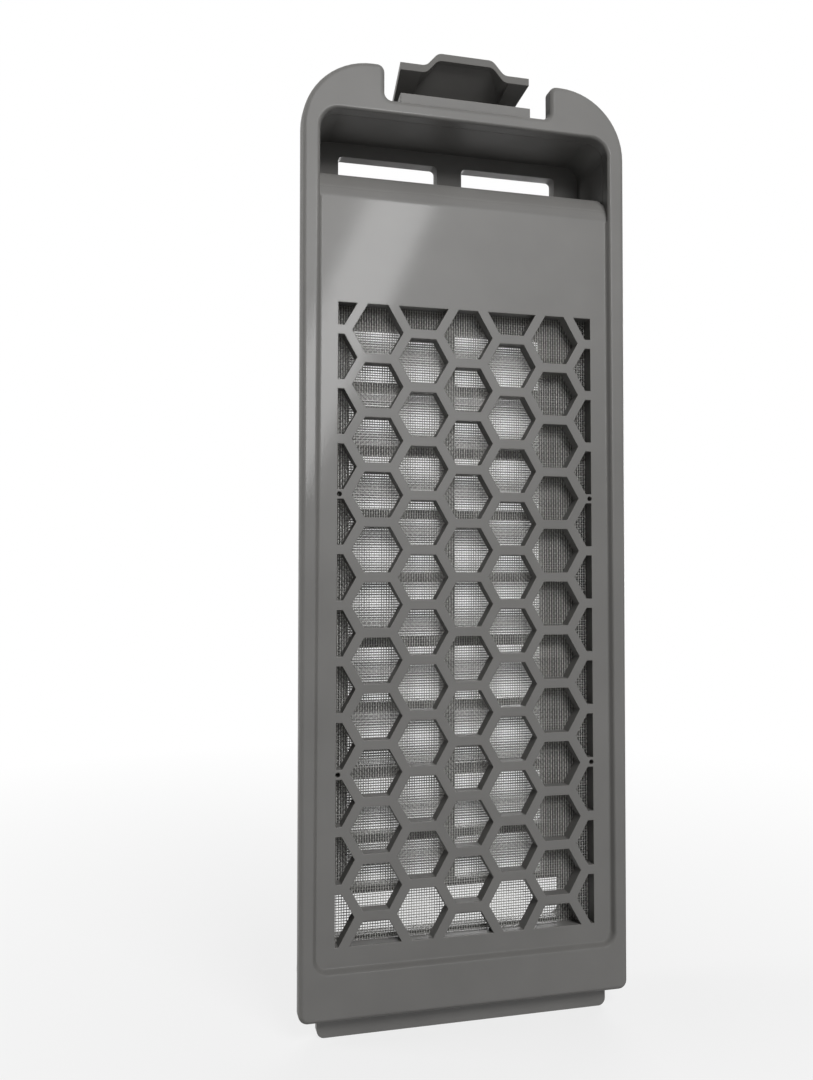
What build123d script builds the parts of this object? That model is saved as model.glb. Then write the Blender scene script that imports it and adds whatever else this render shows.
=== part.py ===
from build123d import *
import os
from math import atan2, cos, degrees, radians, sin, sqrt, tan

# A clip-in lint filter: a front moulding with flange, honeycomb panel, finger lip and hook tongue,
# a case behind it that swings open on two pins, two sheets of woven nylon and a sprung latch tab.
# Millimetres. X runs to the right, Y from the front to the back, Z up from the tip of the tongue.
# Depths are counted from the front plane of the flange.

# Flange of the front moulding, a little narrower at its foot
FLANGE_WIDTH = 70.0
FLANGE_FOOT_WIDTH = 68.4
FLANGE_HEIGHT = 189.7
FLANGE_THICK = 2.8
FLANGE_EDGE = 1.0
SHOULDER_RADIUS = 14.5
FOOT_RADIUS = 1.8

# Slits beside the latch tab, and the sill behind the notch between them
SHOULDER_FLAT = 2.5
SLIT_WIDTH = 3.8
SLIT_DEPTH = 7.3
SLIT_CORNER = 1.6
SILL_DEPTH = 2.2
SILL_RISE = 2.7
SILL_ROOT = 0.9

# Shallow step around the honeycomb panel and the finger opening above it, and the rim where it is narrowest
RIM_WIDTH = 3.0
OPENING_TOP_RADIUS = 4.0
OPENING_FOOT_RADIUS = 2.5
TOP_BAND = 10.35
FOOT_BAND = 9.45
PANEL_STEP = 1.0
STEP_DRAFT = 33.0
STEP_EDGE = 0.6
STEP_FOOT = 0.5

# Finger lip, which rolls back into the case
LIP_BELOW_CEILING = 11.9
LIP_SETBACK = 3.5
LIP_HEIGHT = 6.0
LIP_GAP = 0.35
LIP_CORNER = 1.0

# Hook tongue on the back of the flange
TONGUE_DROP = 3.9
TONGUE_LAP = 3.1
TONGUE_INSET = 3.9
TONGUE_THICK = 2.0
TONGUE_CORNER = 1.5
TONGUE_EDGE = 0.5

# Walls of the case
CASE_DEPTH = 18.0
CASE_SEAM = 0.1
CASE_DRAFT = 2.5
SIDE_WALL = 1.4
TOP_WALL = 1.8
FOOT_WALL = 1.8
REAR_WALL = 3.0
REAR_EDGE = 1.0

# Hinge at the foot: pins on the case, lugs on the back of the flange
HINGE_ROUND = 1.0
PIN_RADIUS = 0.8
PIN_CLEARANCE = 0.06
PIN_END_GAP = 0.1
PIN_ROOT = 1.2
LUG_GAP = 0.25
LUG_THICK = 1.0
LUG_RADIUS = 2.0

# Slots in the rear wall of the finger recess
SLOT_INNER = 2.8
SLOT_BORDER = 6.2
SLOT_HEIGHT = 11.0
SLOT_BELOW_CEILING = 3.45
SLOT_CORNER = 1.0

# Lattice of windows in the rear wall, and the inlet below it
WINDOW_BORDER = 9.0
WINDOW_RIB = 2.5
WINDOW_BAR = 2.0
WINDOW_PITCH = 13.7
WINDOW_BELOW_CEILING = 40.65
WINDOW_CORNER = 0.8
INLET_BORDER = 5.2
INLET_HEIGHT = 8.55
INLET_SILL = 0.9
INLET_BAR = 1.6
INLET_CORNER = 1.5

# Honeycomb
CELL_PITCH = 11.0
CELL_RIB = 1.9
CELL_ROWS = 11
COMB_BORDER = 4.0
COMB_FOOT = 4.25
COMB_PAD = 1.0
PAD_MARGIN = 2.0
GATE_RADIUS = 0.5
GATE_INSET = 0.4
GATE_ROWS = (3, 8)

# Woven sheets
MESH_THICK = 0.3
MESH_MARGIN = 1.5

# Latch: an arm from the sill to the rear, a bend there and the tab that comes forward again
TAB_THICK = 1.5
TAB_ANGLE = 13.0
TAB_TAPER = 5.0
BEND_OUTER = 2.7
LAP_ANGLE = 40.0
LAP_CLEARANCE = 0.1
CATCH_HEIGHT = 2.9
CATCH_INSET = 5.6
CATCH_SLOPE = 2.6
CATCH_ROUND = 2.0
CATCH_LAND = 1.5
CATCH_LENGTH = 8.0

# Widths that follow, from the middle of the filter
FLANGE_HALF = FLANGE_WIDTH / 2
FLANGE_FOOT_HALF = FLANGE_FOOT_WIDTH / 2
OPENING_HALF = min(FLANGE_HALF, FLANGE_FOOT_HALF) - RIM_WIDTH
COMB_HALF = OPENING_HALF - COMB_BORDER
TONGUE_HALF = FLANGE_FOOT_HALF - TONGUE_INSET
SLOT_OUTER = OPENING_HALF - SLOT_BORDER
WINDOW_INNER = WINDOW_RIB / 2
WINDOW_OUTER = OPENING_HALF - WINDOW_BORDER
INLET_HALF = OPENING_HALF - INLET_BORDER
LUG_INNER = OPENING_HALF + SIDE_WALL + LUG_GAP
LUG_OUTER = LUG_INNER + LUG_THICK
SLIT_OUTER = FLANGE_HALF - SHOULDER_RADIUS - SHOULDER_FLAT
TAB_HALF = SLIT_OUTER - SLIT_WIDTH
CATCH_FOOT_HALF = TAB_HALF - CATCH_INSET
CATCH_TOP_HALF = CATCH_FOOT_HALF - CATCH_SLOPE

# Levels and depths that follow
FLANGE_FOOT = TONGUE_DROP
FLANGE_TOP = FLANGE_FOOT + FLANGE_HEIGHT
SLIT_FLOOR = FLANGE_TOP - SLIT_DEPTH
SILL_TOP = SLIT_FLOOR + SILL_RISE
CEILING = FLANGE_TOP - TOP_BAND
FLOOR = FLANGE_FOOT + FOOT_BAND
STEP_RUN = PANEL_STEP * tan(radians(STEP_DRAFT))
PANEL_THICK = FLANGE_THICK - PANEL_STEP
LIP_TOP = CEILING - LIP_BELOW_CEILING
LIP_FOOT = LIP_TOP - LIP_HEIGHT
CASE_FRONT = FLANGE_THICK + CASE_SEAM
REAR_FACE = CASE_DEPTH - REAR_WALL
PIVOT_DEPTH = CASE_FRONT + HINGE_ROUND
PIVOT_LEVEL = FLOOR - FOOT_WALL + HINGE_ROUND
COLUMN_PITCH = CELL_PITCH * sqrt(3) / 2
CELL_FLAT = (CELL_PITCH - CELL_RIB) / 2
CELL_SIDE = 2 * CELL_FLAT / sqrt(3)
COMB_BOTTOM = FLOOR + COMB_FOOT
COMB_TOP = COMB_BOTTOM + (CELL_ROWS + 0.5) * CELL_PITCH
COMB_BACK = FLANGE_THICK + COMB_PAD
WINDOW_TOP = CEILING - WINDOW_BELOW_CEILING
INLET_FLOOR = FLOOR + INLET_SILL
INLET_TOP = INLET_FLOOR + INLET_HEIGHT
WINDOW_FOOT = INLET_TOP + INLET_BAR
BEND_INNER = BEND_OUTER - TAB_THICK
BEND_MIDDLE = BEND_OUTER - TAB_THICK / 2
BEND_DEPTH = CASE_DEPTH - BEND_OUTER
BEND_LEVEL = SILL_TOP + BEND_INNER
BEND_EXIT = 90 - TAB_ANGLE
TAB_TIP = FLANGE_THICK
TAB_RUN = BEND_DEPTH + BEND_OUTER * sin(radians(TAB_ANGLE)) - TAB_TIP
TAB_TOP = BEND_LEVEL + BEND_OUTER * cos(radians(TAB_ANGLE)) + TAB_RUN * tan(radians(TAB_ANGLE))
TAB_DROP = TAB_THICK / cos(radians(TAB_ANGLE))


def front_prism(outline, near, far):
    """Push a front-view outline from one depth to another."""
    return extrude(Plane.XZ.offset(-near) * outline, amount=near - far)


def drafted_prism(outline, near, far, draft):
    """Push a front-view outline back from one depth to another, its sides leaning in by the draft."""
    facing_back = Plane((0, near, 0), x_dir=(-1, 0, 0), z_dir=(0, 1, 0))
    return extrude(facing_back * outline, amount=far - near, taper=draft)


def side_prism(outline, half_width):
    """Push a side-view outline the same way to the left and to the right."""
    return extrude(Plane.YZ * outline, amount=half_width, both=True)


def rectangle(left, foot, right, top):
    """A front-view or side-view rectangle between two corners."""
    return Pos((left + right) / 2, (foot + top) / 2) * Rectangle(right - left, top - foot)


def rounded(left, foot, right, top, foot_radius, top_radius):
    """A rectangle with one radius at its foot and another at its top."""
    shape = rectangle(left, foot, right, top)
    shape = fillet(shape.vertices().group_by(Axis.Y)[0], foot_radius)
    return fillet(shape.vertices().group_by(Axis.Y)[-1], top_radius)


def corners(shape, x, level):
    """The two corners of a front-view outline at this level, left and right."""
    return [v for v in shape.vertices() if abs(abs(v.X) - x) < 0.01 and abs(v.Y - level) < 0.01]


def flange_outline():
    """Flange with its shoulders and the notch for the tab."""
    plate = make_face(
        Polyline(
            (-FLANGE_FOOT_HALF, FLANGE_FOOT),
            (FLANGE_FOOT_HALF, FLANGE_FOOT),
            (FLANGE_HALF, FLANGE_TOP),
            (-FLANGE_HALF, FLANGE_TOP),
            close=True,
        )
    )
    plate = fillet(plate.vertices().group_by(Axis.Y)[0], FOOT_RADIUS)
    plate = fillet(plate.vertices().group_by(Axis.Y)[-1], SHOULDER_RADIUS)
    plate -= rectangle(-SLIT_OUTER, SLIT_FLOOR, SLIT_OUTER, FLANGE_TOP + SLIT_DEPTH)
    plate = fillet(corners(plate, SLIT_OUTER, FLANGE_TOP), SLIT_CORNER)
    return fillet(corners(plate, SLIT_OUTER, SLIT_FLOOR), SLIT_CORNER)


def pocket_outline(wall, top_wall, foot_wall):
    """Section of the pocket, or an outline this far outside it, or inside it when negative."""
    half = OPENING_HALF + wall
    return rounded(
        -half, FLOOR - foot_wall, half, CEILING + top_wall,
        OPENING_FOOT_RADIUS + wall, OPENING_TOP_RADIUS + wall,
    )


def mirrored(shape):
    """A shape and its mirror image across the middle of the filter."""
    return [shape, mirror(shape, about=Plane.YZ)]


def window_cells():
    """Foot and top of each row of windows, from the top row down."""
    rows = round((WINDOW_TOP - WINDOW_FOOT) / WINDOW_PITCH)
    tops = [WINDOW_TOP - row * WINDOW_PITCH for row in range(rows)]
    feet = [top + WINDOW_BAR for top in tops[1:]]
    return zip([*feet, WINDOW_FOOT], tops)


def rear_cutters():
    """Slots, windows and inlet, as cutters through the rear wall."""
    slot_top = CEILING - SLOT_BELOW_CEILING
    outlines = [
        rounded(SLOT_INNER, slot_top - SLOT_HEIGHT, SLOT_OUTER, slot_top, SLOT_CORNER, SLOT_CORNER)
    ]
    for foot, top in window_cells():
        outlines.append(rounded(WINDOW_INNER, foot, WINDOW_OUTER, top, WINDOW_CORNER, WINDOW_CORNER))
    cutters = []
    for outline in outlines:
        cutters += mirrored(front_prism(outline, REAR_FACE - REAR_WALL, CASE_DEPTH + REAR_WALL))
    inlet = rounded(-INLET_HALF, INLET_FLOOR, INLET_HALF, INLET_TOP, INLET_CORNER, INLET_CORNER)
    cutters.append(front_prism(inlet, REAR_FACE - REAR_WALL, CASE_DEPTH + REAR_WALL))
    return cutters


def bend_sector(inner, outer, start, end):
    """Part of the latch's bend between two radii and two angles, counted up from the rear."""
    reach = 2 * outer
    wedge = make_face(
        Polyline(
            (0, 0),
            (reach * cos(radians(start)), reach * sin(radians(start))),
            (reach * cos(radians((start + end) / 2)), reach * sin(radians((start + end) / 2))),
            (reach * cos(radians(end)), reach * sin(radians(end))),
            close=True,
        )
    )
    ring = (Circle(outer) - Circle(inner)) & wedge
    return side_prism(Pos(BEND_DEPTH, BEND_LEVEL) * ring, TAB_HALF)


def narrowed(shape):
    """A part of the latch with its sides leaning in towards the rear."""
    lean = tan(radians(TAB_TAPER))
    front_half = TAB_HALF + TAB_TIP * lean
    rear_half = front_half - CASE_DEPTH * lean
    plan = make_face(
        Polyline(
            (-front_half, 0),
            (front_half, 0),
            (rear_half, CASE_DEPTH),
            (-rear_half, CASE_DEPTH),
            close=True,
        )
    )
    return shape & extrude(plan, amount=FLANGE_TOP + SLIT_DEPTH)


def hinge_axis(shape):
    """A shape made along Z, laid along the hinge's axis."""
    return Pos(0, PIVOT_DEPTH, PIVOT_LEVEL) * Rot(0, 90, 0) * shape


def build_case():
    """The case: a box open to the front, its rear wall pierced, with two hinge pins at its foot."""
    box = drafted_prism(pocket_outline(SIDE_WALL, TOP_WALL, FOOT_WALL), CASE_FRONT, CASE_DEPTH, CASE_DRAFT)
    box = fillet(box.faces().sort_by(Axis.Y)[-1].edges(), REAR_EDGE)
    box -= drafted_prism(pocket_outline(0, 0, 0), CASE_FRONT, REAR_FACE, CASE_DRAFT)

    clear = rectangle(FLANGE_THICK, PIVOT_LEVEL - 2 * HINGE_ROUND, PIVOT_DEPTH, PIVOT_LEVEL)
    clear -= Pos(PIVOT_DEPTH, PIVOT_LEVEL) * Circle(HINGE_ROUND)
    box -= side_prism(clear, FLANGE_HALF)

    pin_end = LUG_OUTER - PIN_END_GAP
    pin_root = OPENING_HALF - PIN_ROOT
    pin = hinge_axis(Pos(0, 0, (pin_root + pin_end) / 2) * Cylinder(PIN_RADIUS, pin_end - pin_root))
    return box - rear_cutters() + mirrored(pin)


def cell_outline(rise, drop):
    """One hexagon hole with flat top and foot, its sides run on by a rise or a drop."""
    top_half = CELL_SIDE / 2 - rise / sqrt(3)
    foot_half = CELL_SIDE / 2 - drop / sqrt(3)
    return make_face(
        Polyline(
            (CELL_SIDE, 0),
            (top_half, CELL_FLAT + rise),
            (-top_half, CELL_FLAT + rise),
            (-CELL_SIDE, 0),
            (-foot_half, -CELL_FLAT - drop),
            (foot_half, -CELL_FLAT - drop),
            close=True,
        )
    )


def comb_outline():
    """All holes of the honeycomb, cut off by the rectangle that frames them."""
    reach = int((COMB_HALF + CELL_SIDE) / COLUMN_PITCH)
    frame = rectangle(-COMB_HALF, COMB_BOTTOM, COMB_HALF, COMB_TOP)
    holes = []
    for column in range(-reach, reach + 1):
        lifted = column % 2
        for row in range(CELL_ROWS + 1):
            rise = CELL_RIB / 2 if row == CELL_ROWS and not lifted else 0
            drop = CELL_RIB / 2 if row == 0 and lifted else 0
            level = COMB_BOTTOM + (row + lifted / 2) * CELL_PITCH
            holes.append(Pos(column * COLUMN_PITCH, level) * cell_outline(rise, drop) & frame)
    return holes


def gate_outlines():
    """Small round holes in the border of the honeycomb, two on each side."""
    gates = []
    for row in GATE_ROWS:
        for side in (-1, 1):
            level = COMB_BOTTOM + row * CELL_PITCH
            gates.append(Pos(side * (COMB_HALF - GATE_INSET), level) * Circle(GATE_RADIUS))
    return gates


def lip_section():
    """Side view of the finger lip: a short piece of the panel, then the roll and its round nose."""
    roll = 2 * degrees(atan2(LIP_SETBACK, LIP_HEIGHT))
    outer = LIP_HEIGHT / sin(radians(roll))
    root = LIP_FOOT - PANEL_THICK
    front = Line((PANEL_STEP, root), (PANEL_STEP, LIP_FOOT))
    lip_front = JernArc(front @ 1, (0, 1), outer, -roll)
    nose = JernArc(lip_front @ 1, lip_front % 1, PANEL_THICK / 2, -180)
    lip_back = JernArc(nose @ 1, nose % 1, outer - PANEL_THICK, roll)
    back = Line(lip_back @ 1, (FLANGE_THICK, root))
    return make_face(Wire([front, lip_front, nose, lip_back, back, Line(back @ 1, front @ 0)]))


def build_lip():
    """The finger lip: joined to the flange at its ends, clear of the case where it is further back."""
    section = lip_section()
    top = section.bounding_box().max.Y
    free_half = OPENING_HALF - LIP_GAP
    free = rounded(-free_half, LIP_FOOT - PANEL_THICK, free_half, top, LIP_CORNER, LIP_CORNER)
    lip = side_prism(section, free_half) & front_prism(free, 0, CASE_DEPTH)
    joined = rectangle(-FLANGE_HALF, LIP_FOOT - PANEL_THICK, FLANGE_HALF, top)
    return lip + (side_prism(section, OPENING_HALF + STEP_RUN) & front_prism(joined, 0, FLANGE_THICK))


def build_flange():
    """The flange plate with the soft step around the panel and the finger opening above the panel."""
    plate = front_prism(flange_outline(), 0, FLANGE_THICK)
    plate = fillet(plate.faces().sort_by(Axis.Y)[0].outer_wire().edges(), FLANGE_EDGE)
    inset = -STEP_RUN / 2
    step = Plane.XZ.offset(-PANEL_STEP) * pocket_outline(inset, inset, inset)
    plate -= extrude(step, amount=2 * PANEL_STEP, taper=-STEP_DRAFT)
    plate = fillet(plate.faces().sort_by(Axis.Y)[0].inner_wires()[0].edges(), STEP_EDGE)
    panel = plate.faces().filter_by(Plane.XZ).sort_by(Axis.Y)[-2]
    plate = fillet(panel.outer_wire().edges(), STEP_FOOT)
    opening = rounded(-OPENING_HALF, LIP_FOOT, OPENING_HALF, CEILING, LIP_GAP, OPENING_TOP_RADIUS)
    return plate - front_prism(opening, -FLANGE_THICK, 2 * FLANGE_THICK)


def build_pad():
    """Extra thickness behind the honeycomb, inside the case."""
    half = COMB_HALF + PAD_MARGIN
    pad = rounded(
        -half, COMB_BOTTOM - PAD_MARGIN, half, COMB_TOP + PAD_MARGIN, PAD_MARGIN, PAD_MARGIN
    )
    return front_prism(pad, PANEL_STEP + PANEL_THICK / 2, COMB_BACK)


def build_lug():
    """The right-hand lug on the back of the flange that takes a pin of the case."""
    side = rectangle(FLANGE_THICK / 2, PIVOT_LEVEL - LUG_RADIUS, PIVOT_DEPTH, PIVOT_LEVEL + LUG_RADIUS)
    side += Pos(PIVOT_DEPTH, PIVOT_LEVEL) * Circle(LUG_RADIUS)
    lug = Pos(LUG_INNER, 0, 0) * extrude(Plane.YZ * side, amount=LUG_THICK)
    return lug - hinge_axis(Cylinder(PIN_RADIUS + PIN_CLEARANCE, 2 * FLANGE_WIDTH))


def build_latch_arm():
    """Sill and arm that carry the latch tab: upright, flat, then half of the bend, then the lap."""
    arm = rectangle(SILL_DEPTH, SILL_TOP - TAB_THICK, BEND_DEPTH, SILL_TOP)
    arm += rectangle(SILL_DEPTH, SLIT_FLOOR - SILL_ROOT, SILL_DEPTH + TAB_THICK, SILL_TOP)
    bend = bend_sector(BEND_INNER, BEND_OUTER, -90, 0)
    lap = bend_sector(BEND_INNER, BEND_MIDDLE - LAP_CLEARANCE / 2, 0, LAP_ANGLE)
    return narrowed(side_prism(arm, TAB_HALF) + bend + lap)


def build_front_panel():
    """The front moulding: flange, honeycomb panel, finger lip, tongue, hinge lugs and latch arm."""
    tongue = rounded(
        -TONGUE_HALF, 0, TONGUE_HALF, FLANGE_FOOT + TONGUE_LAP, TONGUE_CORNER, TONGUE_EDGE
    )
    tongue = front_prism(tongue, FLANGE_THICK / 2, FLANGE_THICK + TONGUE_THICK)
    tongue -= front_prism(rectangle(-FLANGE_HALF, 0, FLANGE_HALF, FLANGE_FOOT), 0, FLANGE_THICK)
    holes = [front_prism(outline, 0, 2 * FLANGE_THICK) for outline in comb_outline() + gate_outlines()]
    panel = build_flange() + build_pad() - holes + build_lip()
    return panel + [tongue, build_latch_arm(), *mirrored(build_lug())]


def build_front_mesh():
    """Woven sheet on the back of the honeycomb."""
    half = COMB_HALF + MESH_MARGIN
    sheet = rectangle(-half, COMB_BOTTOM - MESH_MARGIN, half, COMB_TOP + MESH_MARGIN)
    return front_prism(sheet, COMB_BACK, COMB_BACK + MESH_THICK)


def build_rear_mesh():
    """Woven sheet on the inner face of the rear wall, over the windows."""
    half = WINDOW_OUTER + MESH_MARGIN
    sheet = rectangle(-half, WINDOW_FOOT - INLET_BAR / 2, half, WINDOW_TOP + MESH_MARGIN)
    return front_prism(sheet, REAR_FACE - MESH_THICK, REAR_FACE)


def bend_point(radius, angle):
    """A point of the latch's bend in the side view."""
    return (BEND_DEPTH + radius * cos(radians(angle)), BEND_LEVEL + radius * sin(radians(angle)))


def build_catch():
    """Raised catch of the latch: soft flanks, upright in front, a long ramp behind, sunk in the tab."""
    ramp_end = TAB_TIP + CATCH_LENGTH
    ramp_level = TAB_TOP - CATCH_LENGTH * tan(radians(TAB_ANGLE))
    catch_top = TAB_TOP + CATCH_HEIGHT
    sink = TAB_DROP / 2
    side = make_face(
        Polyline(
            (TAB_TIP, TAB_TOP - sink),
            (TAB_TIP, catch_top),
            (TAB_TIP + CATCH_LAND, catch_top),
            (ramp_end, ramp_level),
            (ramp_end, ramp_level - sink),
            close=True,
        )
    )
    base_half = CATCH_FOOT_HALF + CATCH_ROUND / 2
    front = rectangle(-base_half, ramp_level - sink, base_half, TAB_TOP)
    front += make_face(
        Polyline(
            (-CATCH_FOOT_HALF, TAB_TOP),
            (-CATCH_TOP_HALF, catch_top),
            (CATCH_TOP_HALF, catch_top),
            (CATCH_FOOT_HALF, TAB_TOP),
            close=True,
        )
    )
    front = fillet(corners(front, CATCH_FOOT_HALF, TAB_TOP), CATCH_ROUND)
    front = fillet(corners(front, CATCH_TOP_HALF, catch_top), CATCH_ROUND)
    return side_prism(side, base_half) & front_prism(front, 0, CASE_DEPTH)


def build_latch_tab():
    """The latch tab: bend at the rear, leaning tab, and a hollow catch along its front rim."""
    seam = degrees(LAP_CLEARANCE / BEND_MIDDLE)
    skin = bend_sector(BEND_MIDDLE + LAP_CLEARANCE / 2, BEND_OUTER, seam, LAP_ANGLE + seam)
    bend = bend_sector(BEND_INNER, BEND_OUTER, LAP_ANGLE + seam, BEND_EXIT)
    plate = make_face(
        Polyline(
            bend_point(BEND_OUTER, BEND_EXIT),
            (TAB_TIP, TAB_TOP),
            (TAB_TIP, TAB_TOP - TAB_DROP),
            bend_point(BEND_INNER, BEND_EXIT),
            close=True,
        )
    )
    catch = build_catch()
    tab = narrowed(skin + bend + side_prism(plate, TAB_HALF))
    return tab + catch - Pos(0, 0, -TAB_DROP) * catch


NODES = {
    "case": build_case(),
    "front_panel": build_front_panel(),
    "front_mesh": build_front_mesh(),
    "rear_mesh": build_rear_mesh(),
    "latch_tab": build_latch_tab(),
}

# The origin is at the foot of the tongue, halfway through the depth of the case.
os.makedirs("parts", exist_ok=True)
for name, solid in NODES.items():
    export_step(Pos(0, -CASE_DEPTH / 2, 0) * solid, f"parts/{name}.step")
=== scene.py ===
import logging
import math
from dataclasses import dataclass
from enum import Enum

import bpy
import numpy as np
from mathutils import Matrix, Quaternion, Vector


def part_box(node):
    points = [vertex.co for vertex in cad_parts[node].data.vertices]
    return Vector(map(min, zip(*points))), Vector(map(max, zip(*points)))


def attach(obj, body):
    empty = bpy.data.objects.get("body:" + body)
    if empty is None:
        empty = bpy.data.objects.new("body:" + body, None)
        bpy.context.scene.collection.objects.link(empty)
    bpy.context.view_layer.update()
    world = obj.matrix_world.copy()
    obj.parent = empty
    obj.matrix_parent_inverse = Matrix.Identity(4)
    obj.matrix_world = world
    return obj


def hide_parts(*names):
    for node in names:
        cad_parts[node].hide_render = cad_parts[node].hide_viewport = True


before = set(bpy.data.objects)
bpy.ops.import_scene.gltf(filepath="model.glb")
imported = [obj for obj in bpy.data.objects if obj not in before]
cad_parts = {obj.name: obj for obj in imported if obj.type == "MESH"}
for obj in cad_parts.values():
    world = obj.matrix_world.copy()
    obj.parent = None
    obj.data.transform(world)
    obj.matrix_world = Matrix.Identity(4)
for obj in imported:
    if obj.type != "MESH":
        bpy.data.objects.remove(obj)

# A clip-in lint filter: a moulded front with a honeycomb panel, a case behind it,
# two woven sheets and a latch tab.
# Metres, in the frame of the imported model. X runs to the right, Y from the front to the back, Z up.

LOG = logging.getLogger("lint_filter")
MM = 0.001
WHITE = "#ffffff"
FORWARD = (0, -1, 0)
# Numbers of the colour sockets on a Mix node, whose sockets of other types have the same names.
MIX_FIRST = 6
MIX_SECOND = 7
MIX_RESULT = 2

Colour = tuple[float, float, float, float]
Triple = tuple[float, float, float]
Range = tuple[float, float]


def to_linear(hex_colour: str) -> Colour:
    """Turn an sRGB hex colour into the linear colour that shaders use.

    The standard curve: a straight line for the darkest values, and a power of 2.4 above them.

    Args:
        hex_colour: A colour such as "#7a7a77".

    Returns:
        Linear red, green and blue, with an alpha of 1.
    """
    srgb = np.array([int(hex_colour[i:i + 2], 16) for i in (1, 3, 5)]) / 255
    linear = np.where(srgb <= 0.04045, srgb / 12.92, ((srgb + 0.055) / 1.055) ** 2.4)
    return (*linear.tolist(), 1.0)


def add_node(
    tree: bpy.types.NodeTree, kind: str, inputs: dict | None = None, **settings: object
) -> bpy.types.Node:
    """Add a shader node, set its properties and feed its sockets.

    Args:
        tree: The tree that gets the node.
        kind: Blender's name of the node's type.
        inputs: Values or output sockets by the name or number of the input.
        settings: Properties of the node.

    Returns:
        The new node.
    """
    node = tree.nodes.new(kind)
    for name, value in settings.items():
        setattr(node, name, value)
    for name, value in (inputs or {}).items():
        if isinstance(value, bpy.types.NodeSocket):
            tree.links.new(value, node.inputs[name])
        else:
            node.inputs[name].default_value = value
    return node


def new_material(name: str) -> tuple[bpy.types.Material, bpy.types.NodeTree, bpy.types.Node]:
    """Make a material with an empty tree and its output.

    Args:
        name: The material's name.

    Returns:
        The material, its node tree and its output node.
    """
    material = bpy.data.materials.new(name)
    material.use_nodes = True
    tree = material.node_tree
    tree.nodes.clear()
    return material, tree, add_node(tree, "ShaderNodeOutputMaterial")


class SeenBy(Enum):
    """Rays that meet the white background instead of the studio's dim surround."""

    CAMERA = "Is Camera Ray"
    GLOSSY = "Is Glossy Ray"
    TRANSMISSION = "Is Transmission Ray"


def sees_background(tree: bpy.types.NodeTree) -> bpy.types.NodeSocket:
    """Add nodes that tell whether a ray is one that meets the white background.

    Args:
        tree: The tree of a material or of the world.

    Returns:
        A socket that is 1 for such a ray and 0 for any other.
    """
    path = add_node(tree, "ShaderNodeLightPath")
    found: bpy.types.NodeSocket | float = 0.0
    for ray in SeenBy:
        either = {0: found, 1: path.outputs[ray.value]}
        found = add_node(tree, "ShaderNodeMath", either, operation="MAXIMUM").outputs[0]
    return found


def mesh_object(
    name: str, points: np.ndarray, faces: list[np.ndarray], smooth: bool
) -> bpy.types.Object:
    """Put whole arrays of points and faces into a new mesh object at the origin.

    Args:
        name: The name of the object and of its mesh.
        points: Points in metres, one a row.
        faces: Arrays of corner numbers, one face a row, each array with its own number of corners.
        smooth: Whether the faces are shaded as one rounded surface.

    Returns:
        The linked object.
    """
    corners = np.concatenate([group.ravel() for group in faces]).astype(np.int32)
    counts = np.concatenate([np.full(len(group), group.shape[1]) for group in faces])
    starts = np.concatenate([[0], np.cumsum(counts)[:-1]]).astype(np.int32)
    mesh = bpy.data.meshes.new(name)
    mesh.vertices.add(len(points))
    mesh.vertices.foreach_set("co", points.astype(np.float32).ravel())
    mesh.loops.add(len(corners))
    mesh.loops.foreach_set("vertex_index", corners)
    mesh.polygons.add(len(counts))
    mesh.polygons.foreach_set("loop_start", starts)
    mesh.polygons.foreach_set("use_smooth", np.full(len(counts), smooth))
    mesh.update(calc_edges=True)
    piece = bpy.data.objects.new(name, mesh)
    bpy.context.scene.collection.objects.link(piece)
    return piece


def oval(width: float, thickness: float, sides: int) -> np.ndarray:
    """Corners of a thread's section.

    The points are spaced evenly in angle round an ellipse, one of them at its lower end.

    Args:
        width: The ellipse's size along its first axis.
        thickness: Its size along its second axis.
        sides: The number of corners.

    Returns:
        One corner a row, in turning order.
    """
    angle = 2 * np.pi * np.arange(sides) / sides - np.pi / 2
    return np.stack([width / 2 * np.cos(angle), thickness / 2 * np.sin(angle)], axis=1)


def sweep(
    paths: np.ndarray, section: np.ndarray, first: Triple, second: Triple
) -> tuple[np.ndarray, list[np.ndarray]]:
    """Carry one closed section along many paths at once.

    A point is its place on the path, plus the section's first coordinate along one axis and its
    second along the other. Neighbouring sections are joined by quads, and the first and the last
    section of each path are closed by a face.

    Args:
        paths: Places by path and by step along the path, in metres.
        section: Corners of the section, in turning order about the way the path runs.
        first: Axis of the section's first coordinate.
        second: Axis of its second coordinate.

    Returns:
        The points, one a row, and the faces as quads and end caps.
    """
    count, steps, sides = paths.shape[0], paths.shape[1], len(section)
    offsets = section @ np.array([first, second])
    points = paths[:, :, None, :] + offsets
    index = np.arange(count * steps * sides).reshape(count, steps, sides)
    turned = np.roll(index, -1, axis=2)
    quads = np.stack([index[:, :-1], turned[:, :-1], turned[:, 1:], index[:, 1:]], axis=-1)
    return points.reshape(-1, 3), [quads.reshape(-1, 4), index[:, 0, ::-1], index[:, -1]]


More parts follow.
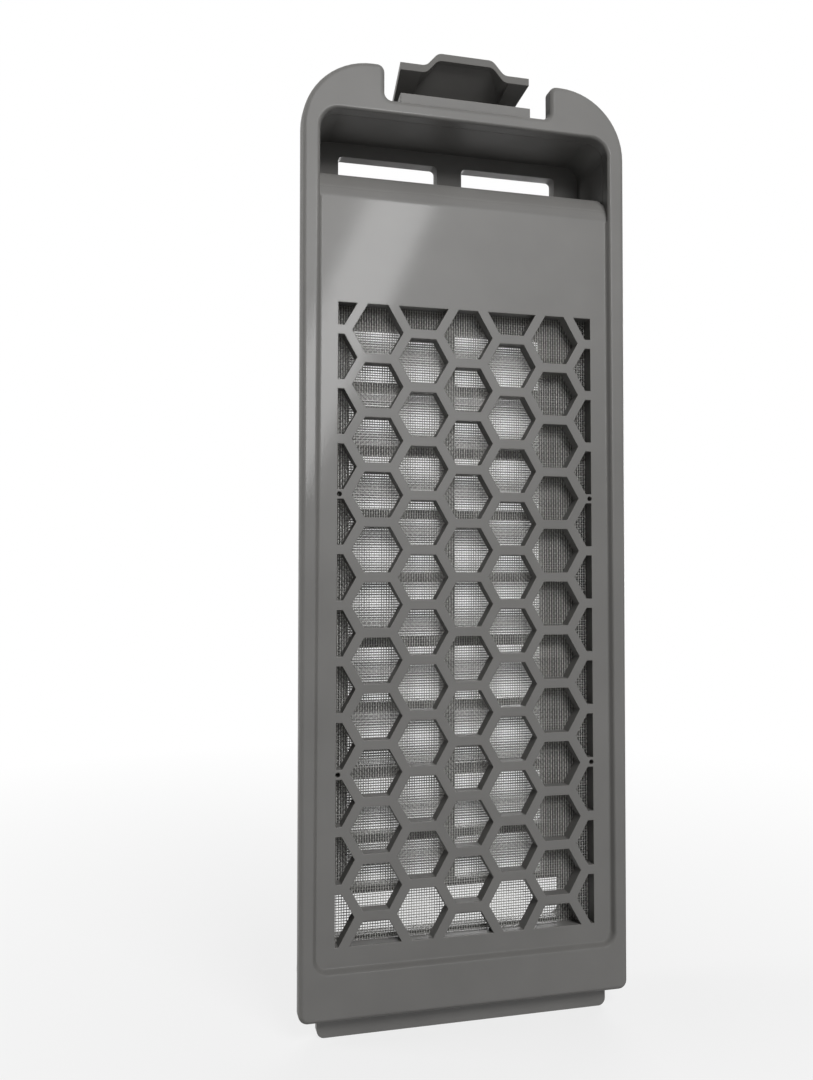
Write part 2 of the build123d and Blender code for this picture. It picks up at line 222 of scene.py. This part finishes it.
@dataclass(frozen=True)
class MouldedPlastic:
    """Polypropylene moulded against steel, polished for the front and spark-eroded for the rest.

    The polished faces that look forward mirror a window, while walls across them and all eroded
    faces have only a dull, broad sheen. Both kinds have a faint grain, slow changes of tone and
    gloss where the melt flowed, and rounded edges whose colour is a little paler, a painted
    highlight.
    """

    name: str
    colour: str = "#6a6967"
    # The paler colour painted on rounded edges as a highlight.
    painted_edge_highlight: str = "#827f7c"
    ior: float = 1.49
    # Roughness and sheen of faces that look forward, and of walls that look any other way.
    roughness: float = 0.06
    wall_roughness: float = 0.45
    sheen: float = 0.5
    wall_sheen: float = 0.12
    # Cosine to the forward direction at which a face is still a wall, and at which it is a front.
    facing_range: Range = (0.9, 0.99)
    # Rounding of the edges, and the cosine between rounded and flat normal that has no painted highlight
    # and the full painted highlight.
    edge_radius: float = 0.22 * MM
    edge_samples: int = 4
    edge_range: Range = (0.98, 0.75)
    # Patches of flow, with the part of the noise's range that counts and the change of tone and gloss.
    flow_size: float = 14 * MM
    flow_detail: float = 3.0
    flow_range: Range = (0.3, 0.7)
    tone_spread: float = 0.06
    roughness_spread: float = 0.2
    # The real grain is about 0.05 mm, too fine to show, so it is drawn several times coarser.
    grain_size: float = 0.35 * MM
    grain_detail: float = 2.0
    grain_depth: float = 0.004 * MM

    def material(self) -> bpy.types.Material:
        """Make the material: tone and gloss from the flow, bump from the grain, a painted highlight on the
        edges.

        Returns:
            The new material.
        """
        material, tree, output = new_material(self.name)
        coordinates = add_node(tree, "ShaderNodeTexCoord")
        place = coordinates.outputs["Object"]
        flow = add_node(
            tree,
            "ShaderNodeTexNoise",
            {"Vector": place, "Scale": 1 / self.flow_size, "Detail": self.flow_detail},
        ).outputs["Fac"]
        grain = add_node(
            tree,
            "ShaderNodeTexNoise",
            {"Vector": place, "Scale": 1 / self.grain_size, "Detail": self.grain_detail},
        ).outputs["Fac"]
        rounded = add_node(
            tree, "ShaderNodeBevel", {"Radius": self.edge_radius}, samples=self.edge_samples
        ).outputs["Normal"]
        bump = add_node(
            tree,
            "ShaderNodeBump",
            {"Height": grain, "Distance": self.grain_depth, "Strength": 1.0, "Normal": rounded},
        ).outputs["Normal"]
        roughness, sheen = self.gloss(tree, coordinates.outputs["Normal"], flow)
        shader = add_node(
            tree,
            "ShaderNodeBsdfPrincipled",
            {
                "Base Color": self.flow_tone_and_edge_highlight(tree, rounded, flow),
                "Roughness": roughness,
                "IOR": self.ior,
                "Specular IOR Level": sheen,
                "Normal": bump,
            },
        )
        tree.links.new(shader.outputs[0], output.inputs["Surface"])
        return material

    def around_one(
        self, tree: bpy.types.NodeTree, flow: bpy.types.NodeSocket, spread: float
    ) -> bpy.types.NodeSocket:
        """Turn the flow into a factor that lies about 1.

        Args:
            tree: The material's tree.
            flow: The flow's noise.
            spread: How far the factor goes to either side of 1.

        Returns:
            The factor.
        """
        span = {"Value": flow, "From Min": self.flow_range[0], "From Max": self.flow_range[1]}
        factor = span | {"To Min": 1 - spread, "To Max": 1 + spread}
        return add_node(tree, "ShaderNodeMapRange", factor).outputs["Result"]

    def flow_tone_and_edge_highlight(
        self, tree: bpy.types.NodeTree, rounded: bpy.types.NodeSocket, flow: bpy.types.NodeSocket
    ) -> bpy.types.NodeSocket:
        """Vary the plastic's colour with the flow, and paint a paler highlight where an edge turns the
        normal.

        Args:
            tree: The material's tree.
            rounded: The normal with rounded edges.
            flow: The flow's noise.

        Returns:
            The colour.
        """
        flat = add_node(tree, "ShaderNodeNewGeometry").outputs["Normal"]
        turned = add_node(
            tree, "ShaderNodeVectorMath", {0: rounded, 1: flat}, operation="DOT_PRODUCT"
        ).outputs["Value"]
        painted_highlight_mask = add_node(
            tree,
            "ShaderNodeMapRange",
            {"Value": turned, "From Min": self.edge_range[0], "From Max": self.edge_range[1]},
        ).outputs["Result"]
        tone = self.around_one(tree, flow, self.tone_spread)
        body = add_node(
            tree, "ShaderNodeVectorMath", {0: to_linear(self.colour)[:3], "Scale": tone}, operation="SCALE"
        ).outputs["Vector"]
        # Rounded edges get the paler colour, a painted highlight.
        blend = {"Factor": painted_highlight_mask, MIX_FIRST: body, MIX_SECOND: to_linear(self.painted_edge_highlight)}
        return add_node(tree, "ShaderNodeMix", blend, data_type="RGBA").outputs[MIX_RESULT]

    def gloss(
        self, tree: bpy.types.NodeTree, normal: bpy.types.NodeSocket, flow: bpy.types.NodeSocket
    ) -> tuple[bpy.types.NodeSocket, bpy.types.NodeSocket]:
        """Go from the dull walls to the faces that look forward, by the piece's own normal.

        Args:
            tree: The material's tree.
            normal: The normal in the piece's own frame.
            flow: The flow's noise, which varies the roughness.

        Returns:
            The roughness and the sheen.
        """
        facing = add_node(
            tree, "ShaderNodeVectorMath", {0: normal, 1: FORWARD}, operation="DOT_PRODUCT"
        ).outputs["Value"]
        front = {"Value": facing, "From Min": self.facing_range[0], "From Max": self.facing_range[1]}
        face = add_node(
            tree, "ShaderNodeMapRange", front | {"To Min": self.wall_roughness, "To Max": self.roughness}
        ).outputs["Result"]
        sheen = add_node(
            tree, "ShaderNodeMapRange", front | {"To Min": self.wall_sheen, "To Max": self.sheen}
        ).outputs["Result"]
        change = self.around_one(tree, flow, self.roughness_spread)
        roughness = add_node(tree, "ShaderNodeMath", {0: face, 1: change}, operation="MULTIPLY").outputs[0]
        return roughness, sheen


@dataclass(frozen=True)
class WovenNylon:
    """Natural nylon monofilament, drawn smooth and woven open.

    Each thread is slightly ivory, with a soft sheen along it and a tone of its own. The warp is
    painted paler, a painted highlight on its knuckles, and the weft darker, painted shade where it
    lies under the warp, so the warp shows as light dots in offset rows where it passes over the weft.
    """

    name: str = "woven_nylon_monofilament"
    # The warp's colour, which carries a painted highlight, and the weft's painted shade.
    colour: str = "#d4d3cf"
    painted_shade: str = "#72716f"
    ior: float = 1.53
    roughness: float = 0.42
    # Name of the mesh attribute that runs from 0, the colour with its painted highlight, to 1, the painted
    # shade.
    tone: str = "thread_tone_and_painted_light"

    def material(self) -> bpy.types.Material:
        """Make the material, whose colour follows each thread's own tone, with the warp's painted
        highlight and the weft's painted shade.

        Returns:
            The new material.
        """
        material, tree, output = new_material(self.name)
        tone = add_node(tree, "ShaderNodeAttribute", attribute_name=self.tone).outputs["Fac"]
        blend = {"Factor": tone, MIX_FIRST: to_linear(self.colour), MIX_SECOND: to_linear(self.painted_shade)}
        colour = add_node(tree, "ShaderNodeMix", blend, data_type="RGBA").outputs[MIX_RESULT]
        shader = add_node(
            tree,
            "ShaderNodeBsdfPrincipled",
            {"Base Color": colour, "Roughness": self.roughness, "IOR": self.ior},
        )
        tree.links.new(shader.outputs[0], output.inputs["Surface"])
        return material


@dataclass
class Mouldings:
    """The front moulding, the case behind it and the latch tab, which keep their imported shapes."""

    polished: tuple[str, ...] = ("front_panel",)
    eroded: tuple[str, ...] = ("case", "latch_tab")
    smooth_finish: MouldedPlastic = MouldedPlastic("polished_polypropylene")
    coarse_finish: MouldedPlastic = MouldedPlastic(
        "eroded_polypropylene", roughness=0.50, wall_roughness=0.50, sheen=0.12
    )

    def dress(self) -> None:
        """Give the mouldings one colour, glossy on the front and dull on the case and the tab."""
        for nodes, finish in ((self.polished, self.smooth_finish), (self.eroded, self.coarse_finish)):
            material = finish.material()
            for name in nodes:
                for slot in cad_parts[name].material_slots:
                    slot.material = material
                LOG.info("%s: dressed in %s", name, finish.name)


@dataclass
class WovenSheet:
    """A sheet of plain weave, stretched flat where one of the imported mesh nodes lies."""

    name: str
    node: str
    body: str
    carrier: str
    finish: WovenNylon
    seed: int
    pitch: float = 0.53 * MM
    thread_width: float = 0.19 * MM
    warp_sides: int = 3
    weft_sides: int = 6
    # How far a thread may stand off its even place, and how far its tone may stand off its own end.
    wander: float = 0.02 * MM
    tone_spread: float = 0.35

    def build(self) -> bpy.types.Object:
        """Weave the sheet: straight weft across, and warp that goes over and under it by turns.

        A weft thread is a straight line across the sheet. A warp thread runs up the sheet, and at
        weft number j it lies behind it where its own number and j add up to an even number, and
        in front of it otherwise. A third of the sheet's depth goes to the weft and a third to the
        warp on each side of it.

        Returns:
            The sheet, riding on its body.
        """
        low, high = (np.array(corner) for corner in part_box(self.node))
        middle = (low[1] + high[1]) / 2
        thickness = (high[1] - low[1]) / 3
        rng = np.random.default_rng(self.seed)
        warp_x = self.places(low[0], high[0], rng)
        weft_z = self.places(low[2], high[2], rng)
        in_front = (np.arange(len(warp_x))[:, None] + np.arange(len(weft_z))[None, :]) % 2

        warp = np.empty((len(warp_x), len(weft_z), 3))
        warp[..., 0] = warp_x[:, None]
        warp[..., 1] = middle + thickness * (1 - 2 * in_front)
        warp[..., 2] = weft_z[None, :]
        weft = np.empty((len(weft_z), 2, 3))
        weft[..., 0] = [low[0], high[0]]
        weft[..., 1] = middle
        weft[..., 2] = weft_z[:, None]

        warp_section = oval(self.thread_width, thickness, self.warp_sides)
        weft_section = oval(thickness, self.thread_width, self.weft_sides)
        warp_points, warp_faces = sweep(warp, warp_section, (1, 0, 0), (0, 1, 0))
        weft_points, weft_faces = sweep(weft, weft_section, (0, 1, 0), (0, 0, 1))
        points = np.concatenate([warp_points, weft_points])
        faces = warp_faces + [group + len(warp_points) for group in weft_faces]
        sheet = mesh_object(self.name, points, faces, smooth=True)

        # Warp tones lie near 0, paler as a painted highlight, and weft tones near 1, darker as painted
        # shade under the warp; each thread also has a random tone of its own.
        tone_and_painted_light = [
            np.repeat(self.tone_spread * rng.random(len(warp_x)), len(weft_z) * self.warp_sides),
            np.repeat(1 - self.tone_spread * rng.random(len(weft_z)), 2 * self.weft_sides),
        ]
        layer = sheet.data.attributes.new(self.finish.tone, "FLOAT", "POINT")
        layer.data.foreach_set("value", np.concatenate(tone_and_painted_light).astype(np.float32))

        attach(sheet, self.body)
        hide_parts(self.node)
        LOG.info("%s: %d warp and %d weft threads on %s", self.name, len(warp_x), len(weft_z), self.body)
        return sheet

    def places(self, start: float, end: float, rng: np.random.Generator) -> np.ndarray:
        """Centres of the threads from edge to edge, evenly spaced but for a small wander.

        Args:
            start: One edge of the sheet.
            end: The other edge.
            rng: Source of the wander.

        Returns:
            One place for each thread.
        """
        inset = self.thread_width / 2 + self.wander
        count = round((end - start - 2 * inset) / self.pitch) + 1
        even = np.linspace(start + inset, end - inset, count)
        return even + rng.uniform(-self.wander, self.wander, count)

    def dress(self, sheet: bpy.types.Object, material: bpy.types.Material) -> None:
        """Give the sheet its finish."""
        sheet.data.materials.append(material)


@dataclass(frozen=True)
class Softbox:
    """A rectangular studio lamp that faces a point at or near the filter.

    A grid narrows the angle that its light spreads over. A lamp that isn't mirrored lights the
    filter without showing as a reflection in the polished plastic.
    """

    name: str
    place: Triple
    aim: Triple
    width: float
    height: float
    watts: float
    roll_deg: float = 0.0
    spread_deg: float = 180.0
    mirrored: bool = True

    def build(self) -> None:
        """Hang the lamp and turn it to its aim."""
        lamp = bpy.data.lights.new(self.name, "AREA")
        lamp.shape = "RECTANGLE"
        lamp.size = self.width
        lamp.size_y = self.height
        lamp.energy = self.watts
        lamp.spread = math.radians(self.spread_deg)
        holder = bpy.data.objects.new(self.name, lamp)
        bpy.context.scene.collection.objects.link(holder)
        holder.location = self.place
        holder.visible_glossy = self.mirrored
        facing = (Vector(self.aim) - Vector(self.place)).to_track_quat("-Z", "Y")
        roll = Quaternion((0, 0, 1), math.radians(self.roll_deg))
        holder.rotation_euler = (facing @ roll).to_euler()
        LOG.info("%s: %.2f W", self.name, self.watts)


# Lights the front from above.
KEY_SOFTBOX = Softbox(
    name="key_softbox",
    place=(0.10, -0.42, 0.44),
    aim=(0.0, 0.0, 0.32),
    width=0.24,
    height=0.24,
    watts=2.7,
    mirrored=False,
)
# A narrow, tilted light that the polished front mirrors as a bright band.
WINDOW = Softbox(
    name="window",
    place=(0.139, -0.943, 0.362),
    aim=(-0.02, 0.0, 0.14),
    width=0.075,
    height=0.40,
    watts=0.375,
    roll_deg=-24.0,
)
# A wide, faint light that gives the polished front an even sheen.
GRIDDED_SOFTBOX = Softbox(
    name="gridded_softbox",
    place=(0.132, -0.943, 0.440),
    aim=(-0.06, 0.179, 0.092),
    width=0.85,
    height=0.85,
    watts=0.21,
    spread_deg=40.0,
)
# Lights the left side and the back.
SIDE_SOFTBOX = Softbox(
    name="side_softbox",
    place=(-0.60, 0.12, 0.36),
    aim=(0.0, 0.0, 0.10),
    width=0.20,
    height=0.36,
    watts=2.8,
)
# Lights the back and the right side.
REAR_SOFTBOX = Softbox(
    name="rear_softbox",
    place=(0.30, 0.50, 0.20),
    aim=(0.0, 0.0, 0.10),
    width=0.40,
    height=0.24,
    watts=3.6,
)


@dataclass
class Studio:
    """White floor, white surround, soft lamps and a camera that stands where the photograph was taken."""

    # Width and height of the picture, the point on the lens's axis and the focal length, in pixels.
    frame_px: tuple[int, int] = (813, 1080)
    axis_px: tuple[float, float] = (406.5, 515.0)
    focal_px: float = 960.4
    eye_mm: Triple = (-60.0, -195.15, 92.0)
    turn_right_deg: float = 14.07
    # A camera at rest looks straight down, so this turn makes it look level.
    level_deg: float = 90.0
    tilt_up_deg: float = 2.85
    roll_deg: float = 0.14
    sensor_mm: float = 36.0
    near_clip: float = 10 * MM
    floor_half: float = 3.0
    paper_colour: str = "#a8a8a8"
    paper_roughness: float = 0.9
    # The floor's share of plain white near the filter, and the distances over which it grows to 1.
    near_white: float = 0.78
    fade_range: Range = (0.05, 0.30)
    # Strength of the surround where it only lights the filter.
    ambient: float = 0.03
    lamps: tuple[Softbox, ...] = (KEY_SOFTBOX, WINDOW, GRIDDED_SOFTBOX, SIDE_SOFTBOX, REAR_SOFTBOX)

    def build(self) -> None:
        """Set up the whole studio."""
        bpy.context.scene.view_settings.view_transform = "Standard"
        self.build_floor()
        self.build_surround()
        for lamp in self.lamps:
            lamp.build()
        self.build_camera()

    def build_floor(self) -> None:
        """Lay a flat white floor at the filter's foot, which keeps a soft shadow near the filter."""
        half = self.floor_half
        corners = np.array([[-half, -half, 0], [half, -half, 0], [half, half, 0], [-half, half, 0]])
        floor = mesh_object("floor", corners, [np.array([[0, 1, 2, 3]])], smooth=False)
        floor.data.materials.append(self.floor_material())
        LOG.info("floor: %.1f m wide", 2 * half)

    def floor_material(self) -> bpy.types.Material:
        """Make paper that is seen as white, with a share of its shadow near the filter.

        Returns:
            The floor's material.
        """
        material, tree, output = new_material("white_paper_floor")
        place = add_node(tree, "ShaderNodeTexCoord").outputs["Object"]
        distance = add_node(tree, "ShaderNodeVectorMath", {0: place}, operation="LENGTH").outputs["Value"]
        fade = add_node(
            tree,
            "ShaderNodeMapRange",
            {
                "Value": distance,
                "From Min": self.fade_range[0],
                "From Max": self.fade_range[1],
                "To Min": self.near_white,
                "To Max": 1.0,
            },
        ).outputs["Result"]
        white = add_node(
            tree, "ShaderNodeMath", {0: fade, 1: sees_background(tree)}, operation="MULTIPLY"
        ).outputs[0]
        paper = add_node(
            tree,
            "ShaderNodeBsdfPrincipled",
            {"Base Color": to_linear(self.paper_colour), "Roughness": self.paper_roughness},
        )
        glow = add_node(tree, "ShaderNodeEmission", {"Color": to_linear(WHITE), "Strength": 1.0})
        mixed = add_node(tree, "ShaderNodeMixShader", {0: white, 1: paper.outputs[0], 2: glow.outputs[0]})
        tree.links.new(mixed.outputs[0], output.inputs["Surface"])
        return material

    def build_surround(self) -> None:
        """Make the world white where it is seen, and dim where it only lights the filter."""
        world = bpy.data.worlds.new("studio_surround")
        bpy.context.scene.world = world
        world.use_nodes = True
        tree = world.node_tree
        tree.nodes.clear()
        strength = add_node(
            tree,
            "ShaderNodeMapRange",
            {"Value": sees_background(tree), "To Min": self.ambient, "To Max": 1.0},
        ).outputs["Result"]
        background = add_node(
            tree, "ShaderNodeBackground", {"Color": to_linear(WHITE), "Strength": strength}
        )
        output = add_node(tree, "ShaderNodeOutputWorld")
        tree.links.new(background.outputs[0], output.inputs["Surface"])

    def build_camera(self) -> None:
        """Stand the camera where the photograph was taken, with its lens and framing."""
        width_px, height_px = self.frame_px
        data = bpy.data.cameras.new("photo_camera")
        data.sensor_width = self.sensor_mm
        data.lens = self.sensor_mm * self.focal_px / height_px
        data.shift_x = (width_px / 2 - self.axis_px[0]) / height_px
        data.shift_y = (self.axis_px[1] - height_px / 2) / height_px
        data.clip_start = self.near_clip
        camera = bpy.data.objects.new("photo_camera", data)
        bpy.context.scene.collection.objects.link(camera)
        turn = Matrix.Rotation(math.radians(-self.turn_right_deg), 4, "Z")
        tilt = Matrix.Rotation(math.radians(self.level_deg + self.tilt_up_deg), 4, "X")
        roll = Matrix.Rotation(math.radians(self.roll_deg), 4, "Z")
        camera.matrix_world = Matrix.Translation(Vector(self.eye_mm) * MM) @ turn @ tilt @ roll
        bpy.context.scene.camera = camera


def main() -> None:
    """Build and dress every piece in order, then the studio."""
    logging.basicConfig(level=logging.INFO, format="%(name)s %(message)s")
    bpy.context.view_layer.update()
    Mouldings().dress()
    nylon = WovenNylon()
    thread = nylon.material()
    sheets = (
        WovenSheet("front_weave", "front_mesh", "front_panel", "front_panel", nylon, seed=3),
        WovenSheet("rear_weave", "rear_mesh", "case", "case", nylon, seed=8, thread_width=0.23 * MM),
    )
    for sheet in sheets:
        sheet.dress(sheet.build(), thread)
    Studio().build()


if __name__ == "__main__":
    main()
